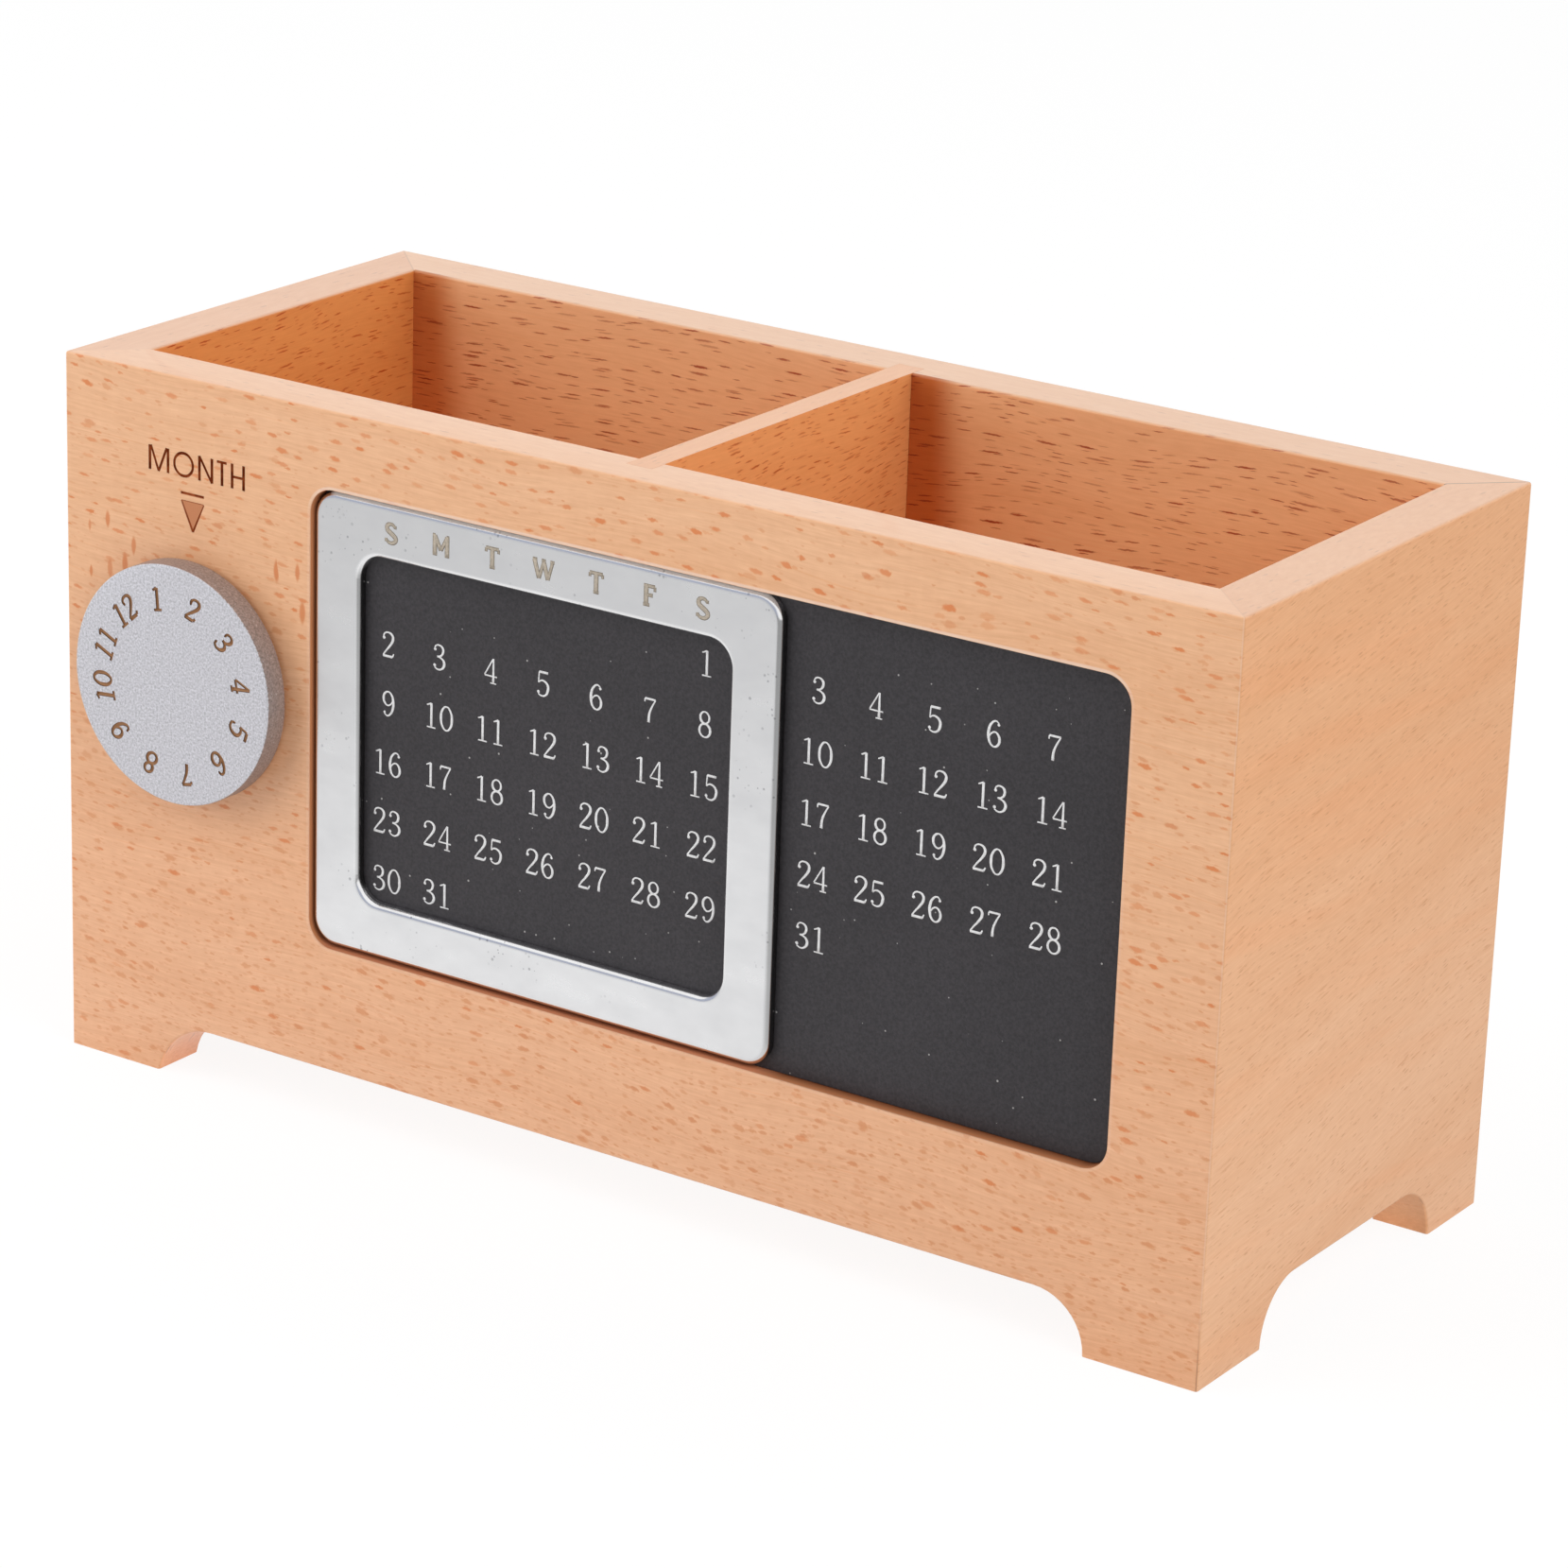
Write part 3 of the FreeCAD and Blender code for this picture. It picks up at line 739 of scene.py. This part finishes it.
digit_paths = {
    "0": [[(.29, .965, .026), (.44, .83, .039), (.505, .5, .052), (.44, .17, .039), (.29, .035, .026),
           (.14, .17, .039), (.075, .5, .052), (.14, .83, .039), (.29, .965, .026)]],
    "1": [[(.30, .035, .048), (.30, .965, .048)], [(.30, .955, .035), (.12, .865, .018)],
          [(.13, .02, .022), (.47, .02, .022)]],
    "2": [[(.045, .745, .0), (.075, .745, .052), (.105, .745, .06), (.135, .745, .052), (.165, .745, .0)],
          [(.085, .76, .03), (.12, .90, .026), (.28, .972, .028), (.44, .88, .048), (.46, .72, .052),
           (.36, .50, .042), (.18, .24, .028), (.07, .06, .024)],
          [(.06, .045, .045), (.44, .045, .045)], [(.44, .045, .035), (.50, .18, .02)]],
    "3": [[(.065, .79, .0), (.0925, .79, .048), (.12, .79, .055), (.1475, .79, .048), (.175, .79, .0)],
          [(.10, .82, .02), (.15, .93, .025), (.28, .972, .027), (.42, .87, .048), (.42, .68, .045),
           (.33, .56, .028), (.20, .525, .024)],
          [(.20, .525, .024), (.36, .48, .03), (.47, .36, .05), (.47, .20, .052), (.36, .055, .03),
           (.22, .028, .026), (.10, .10, .022)],
          [(.047, .17, .0), (.076, .17, .05), (.105, .17, .058), (.134, .17, .05), (.163, .17, .0)]],
    "4": [[(.37, .96, .022), (.045, .30, .022)], [(.045, .285, .024), (.53, .285, .024)],
          [(.385, .965, .03), (.385, .03, .047)], [(.27, .018, .02), (.50, .018, .02)]],
    "5": [[(.13, .93, .042), (.47, .93, .042)], [(.13, .93, .022), (.105, .52, .022)],
          [(.105, .52, .02), (.20, .605, .026), (.33, .60, .036), (.465, .46, .05), (.47, .27, .052),
           (.38, .075, .034), (.22, .028, .026), (.10, .09, .022)],
          [(.05, .16, .0), (.0775, .16, .048), (.105, .16, .055), (.1325, .16, .048), (.16, .16, .0)]],
    "6": [[(.38, .845, .0), (.405, .845, .043), (.43, .845, .05), (.455, .845, .043), (.48, .845, .0)],
          [(.44, .89, .022), (.33, .972, .026), (.18, .86, .038), (.095, .62, .05), (.09, .35, .052),
           (.16, .12, .04), (.29, .028, .027), (.43, .12, .04), (.475, .30, .05), (.43, .47, .04),
           (.31, .565, .027), (.19, .50, .025), (.115, .38, .022)]],
    "7": [[(.09, .935, .038), (.49, .935, .034)], [(.09, .93, .03), (.075, .80, .018)],
          [(.48, .93, .022), (.36, .68, .03), (.26, .38, .042), (.235, .05, .052)]],
    "8": [[(.28, .97, .026), (.397, .907, .032), (.445, .755, .040), (.397, .603, .030), (.28, .54, .030),
           (.163, .603, .050), (.115, .755, .045), (.163, .907, .032), (.28, .97, .026)],
          [(.29, .525, .036), (.431, .452, .048), (.49, .275, .050), (.431, .098, .038), (.29, .025, .026),
           (.149, .098, .036), (.09, .275, .045), (.149, .452, .034), (.29, .525, .036)]],
}
digit_paths["9"] = [[(.58 - x, 1 - y, half) for x, y, half in path] for path in digit_paths["6"]]


def number_paths(value, stretch=1.17, bolder=0.0, slant=0.0):
    """The strokes of a number one unit high, about its own middle. A pointed end stays pointed."""
    digit_middle = 0.29
    digit_pitch = 0.71
    digits = str(value)
    paths = []
    for place, digit in enumerate(digits):
        shift = (place - (len(digits) - 1) / 2) * digit_pitch
        for path in digit_paths[digit]:
            paths.append([
                ((x - digit_middle) * stretch + shift + slant * (y - 0.5), y - 0.5,
                 half + bolder if half else 0) for x, y, half in path])
    return paths


plate_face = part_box("number_plate")[0][1] / mm
row_heights = (85.2, 76.2, 67.2, 58.1, 49.0, 40.0)
columns = 13
first_column_x = -41.0
number_height = 3.9
plate_marks = []
for row, row_height in enumerate(row_heights):
    for column in range(columns):
        day = 7 * (row - 1) + 2 + column
        if 1 <= day <= 31:
            column_x = first_column_x + 9.21 * column + 0.012 * column ** 2
            plate_marks.append((number_paths(day, bolder=0.006), column_x, row_height, number_height, 0))
printed_numbers = drawn("printed_numbers", plate_marks, 0.08, plate_face)
pale_ink = plain_finish("pale_ink", 0.6)
tree = pale_ink.node_tree
coverage = remap(tree, noise(tree, in_mm(tree), (0.5, 0.5, 0.5), 2.0), 0.3, 0.6, 0.86, 1.0)
coloured(pale_ink, shaded_tone(tree, colour(240, 240, 241), coverage))
finish(printed_numbers, pale_ink)
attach(printed_numbers, "case")

# The weekday frame is pressed from steel, with rolled, polished edges and a satin face that has been
# handled. The magnet holds it, and it slides along the window. Its brownish letters are etched.
satin_steel = plain_finish("satin_steel_face", 0.30, metal=1.0)
tree = satin_steel.node_tree
place = in_mm(tree)
rubbed = noise(tree, place, (9, 9, 5), 3.0, 0.6)
bright = shaded_tone(tree, colour(239, 239, 240), remap(tree, rubbed, 0.3, 0.7, 0.965, 1.03))
grazed = remap(tree, noise(tree, place, (7, 7, 7), 1.0), 0.56, 0.66)
grazes = specks(tree, place, pitch=0.75, smallest=0.08, largest=0.30, share=0.35)
grazes = product(tree, grazes, grazed)
dents = specks(tree, place, pitch=2.2, smallest=0.06, largest=0.17, share=0.18)
marks_seen = sums(tree, "MAXIMUM", product(tree, grazes, 0.50), product(tree, dents, 0.60))
marked = mixed(tree, marks_seen, bright, colour(120, 120, 126))
normal = add(tree, "SeparateXYZ", {0: add(tree, "TexCoord").outputs["Normal"]}).outputs
# Painted reflection: faces that look right, the frame's right outer wall and left inner wall, are darkened as
# if mirroring the black plate.
painted_dark_reflection = remap(tree, normal["X"], 0.78, 0.92)
coloured(satin_steel, mixed(tree, painted_dark_reflection, marked, colour(124, 122, 122)))
polish = remap(tree, sums(tree, "ABSOLUTE", normal["Y"]), 0.985, 0.93, 0.0, 0.14)
satin = sums(tree, "SUBTRACT", remap(tree, rubbed, 0.3, 0.7, 0.34, 0.26), polish)
tree.links.new(satin, tree.nodes["Principled BSDF"].inputs["Roughness"])
grain = noise(tree, place, (0.6, 0.6, 0.6), 2.0)
bumped(satin_steel, sums(tree, "SUBTRACT", grain, marks_seen), 0.0015)
finish(nodes["slider_frame"], satin_steel)
letter_paths = {
    "S": [[(.62, .76, .03), (.62, .93, .03)],
          [(.62, .80, .03), (.50, .93, .04), (.33, .965, .045), (.15, .87, .07), (.15, .68, .085),
           (.33, .54, .085), (.52, .42, .085), (.66, .26, .08), (.55, .08, .06), (.36, .03, .045),
           (.18, .08, .04), (.07, .22, .03)],
          [(.07, .24, .03), (.07, .06, .03)]],
    "M": [[(.16, .0, .085), (.16, .98, .085)], [(.94, .0, .085), (.94, .98, .085)],
          [(.16, .95, .07), (.55, .25, .07)], [(.55, .25, .05), (.94, .95, .05)],
          [(.02, .965, .035), (.20, .965, .035)], [(.90, .965, .035), (1.08, .965, .035)],
          [(.02, .035, .035), (.30, .035, .035)], [(.80, .035, .035), (1.08, .035, .035)]],
    "T": [[(.05, .955, .045), (.80, .955, .045)], [(.425, .0, .085), (.425, .98, .085)],
          [(.06, .95, .03), (.06, .75, .03)], [(.79, .95, .03), (.79, .75, .03)],
          [(.27, .035, .035), (.58, .035, .035)]],
    "W": [[(.10, .95, .08), (.38, .06, .08)], [(.38, .06, .045), (.64, .90, .045)],
          [(.64, .90, .08), (.90, .06, .08)], [(.90, .06, .045), (1.15, .95, .045)],
          [(.0, .965, .035), (.26, .965, .035)], [(.52, .965, .035), (.76, .965, .035)],
          [(1.02, .965, .035), (1.26, .965, .035)]],
    "F": [[(.22, .0, .085), (.22, .98, .085)], [(.08, .955, .045), (.72, .955, .045)],
          [(.71, .95, .03), (.71, .72, .03)], [(.22, .52, .038), (.52, .52, .038)],
          [(.52, .62, .028), (.52, .42, .028)], [(.06, .035, .035), (.42, .035, .035)]],
}
steel_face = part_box("slider_frame")[0][1] / mm
first_letter_x = -39.57
letter_step = 9.06
letter_row_height = 93.61
letter_height = 3.0
etched_bolder = 0.05
letter_marks = []
for weekday, letter in enumerate("SMTWTFS"):
    widest = max(x for path in letter_paths[letter] for x, y, half in path)
    squeezed = 0.93 if letter == "M" else 1.0
    paths = [[((x - widest / 2) * squeezed, y - 0.5, half + etched_bolder) for x, y, half in path]
             for path in letter_paths[letter]]
    letter_x = first_letter_x + letter_step * weekday
    letter_marks.append((paths, letter_x, letter_row_height, letter_height, 0))
weekday_marks = drawn("weekday_marks", letter_marks, 0.06, steel_face)
etched_khaki = plain_finish("etched_khaki", 0.5)
tree = etched_khaki.node_tree
bitten = remap(tree, noise(tree, in_mm(tree), (0.35, 0.35, 0.35), 2.0), 0.3, 0.7, 0.82, 1.12)
proud = sums(tree, "SUBTRACT", steel_face, places(tree)["Y"])
khaki = mixed(tree, remap(tree, proud, 0.008, 0.016), colour(142, 131, 115), colour(186, 174, 157))
coloured(etched_khaki, shaded_tone(tree, khaki, bitten))
finish(weekday_marks, etched_khaki)
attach(weekday_marks, "weekday_slider")

# The month dial is a fibreboard disc sprayed with sparkling silver, thinly on its edge. Its numbers
# are milled through the paint. A dowel glued into it turns in the front board on a felt ring.
dial_low, dial_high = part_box("month_dial")
dial_face = dial_low[1] / mm
dial_x = (dial_low[0] + dial_high[0]) / 2 / mm
dial_z = (dial_low[2] + dial_high[2]) / 2 / mm
ring_x = dial_x + 0.1
ring_z = dial_z - 0.2
ring_radius = 13.35
first_turn = -11.8
month_height = 3.55
month_marks = []
for month in range(1, 13):
    turn = math.radians(30 * (month - 1) + first_turn)
    month_x = ring_x + ring_radius * math.sin(turn)
    month_z = ring_z + ring_radius * math.cos(turn)
    paths = number_paths(month, stretch=1.22, bolder=0.038, slant=0.12)
    month_marks.append((paths, month_x, month_z, month_height, turn))
milled_numbers = drawn("milled_numbers", month_marks, 1.1, dial_face, fullness=2)
silver_paint = plain_finish("sparkling_silver", 0.5, metal=0.2)
tree = silver_paint.node_tree
place = in_mm(tree)
x, y, z = places(tree)
grains = noise(tree, place, (0.34, 0.34, 0.34), 2.0, 0.65)
silver = shaded_tone(tree, colour(210, 209, 215), remap(tree, grains, 0.3, 0.7, 0.70, 1.28))
flakes = specks(tree, place, pitch=0.45, smallest=0.06, largest=0.16, share=0.22)
normal = add(tree, "SeparateXYZ", {0: add(tree, "TexCoord").outputs["Normal"]}).outputs
on_edge = remap(tree, sums(tree, "ABSOLUTE", normal["Y"]), 0.60, 0.40)
thin_paint = shaded_tone(tree, colour(160, 144, 138), remap(tree, grains, 0.3, 0.7, 0.66, 1.34))
silver = mixed(tree, on_edge, silver, thin_paint)
glitter = product(tree, flakes, remap(tree, on_edge, 0.0, 1.0, 0.55, 0.35))
silver = mixed(tree, glitter, silver, colour(232, 232, 236))
coloured(silver_paint, silver)
depth = sums(tree, "SUBTRACT", y, dial_face)
off_x = sums(tree, "SUBTRACT", x, dial_x)
off_z = sums(tree, "SUBTRACT", z, dial_z)
from_axis = add(tree, "CombineXYZ", {"X": off_x, "Z": off_z}).outputs[0]
radius = add(tree, "VectorMath", {0: from_axis}, operation="LENGTH").outputs["Value"]
below_face = product(tree, remap(tree, depth, 0.008, 0.03), remap(tree, depth, 0.8, 0.6))
in_numbers = product(tree, below_face, remap(tree, radius, 17.6, 17.3))
cut_bottom = mixed(tree, remap(tree, depth, 0.10, 0.17), colour(74, 56, 47), colour(176, 128, 86))
stain(silver_paint, in_numbers, cut_bottom)
bumped(silver_paint, grains, 0.012)
numbered_dial = worked_copy("numbered_dial", "month_dial", (milled_numbers,))
finish(numbered_dial, silver_paint)
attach(numbered_dial, "dial")
dowel_beech = beech("dowel_beech", along_x, 55, colour(214, 168, 124), colour(214, 168, 124), (),
                    fine=0.8, lacquer=0.0)
finish(nodes["dial_spindle"], dowel_beech)
felt = plain_finish("grey_felt_ring", 0.95)
tree = felt.node_tree
fuzz = noise(tree, in_mm(tree), (0.12, 0.5, 0.12), 4.0, 0.7)
coloured(felt, shaded_tone(tree, colour(92, 89, 86), remap(tree, fuzz, 0.3, 0.7, 0.7, 1.3)))
bumped(felt, fuzz, 0.08)
finish(nodes["dial_friction_washer"], felt)
zinc = plain_finish("bright_zinc", 0.32, metal=1.0)
tree = zinc.node_tree
cloudy = noise(tree, in_mm(tree), (1.2, 1.2, 1.2), 3.0)
coloured(zinc, mixed(tree, cloudy, colour(196, 199, 203), colour(214, 210, 196)))
bumped(zinc, cloudy, 0.01)
finish(nodes["dial_retaining_washer"], zinc)
finish(nodes["dial_retaining_screw"], zinc)
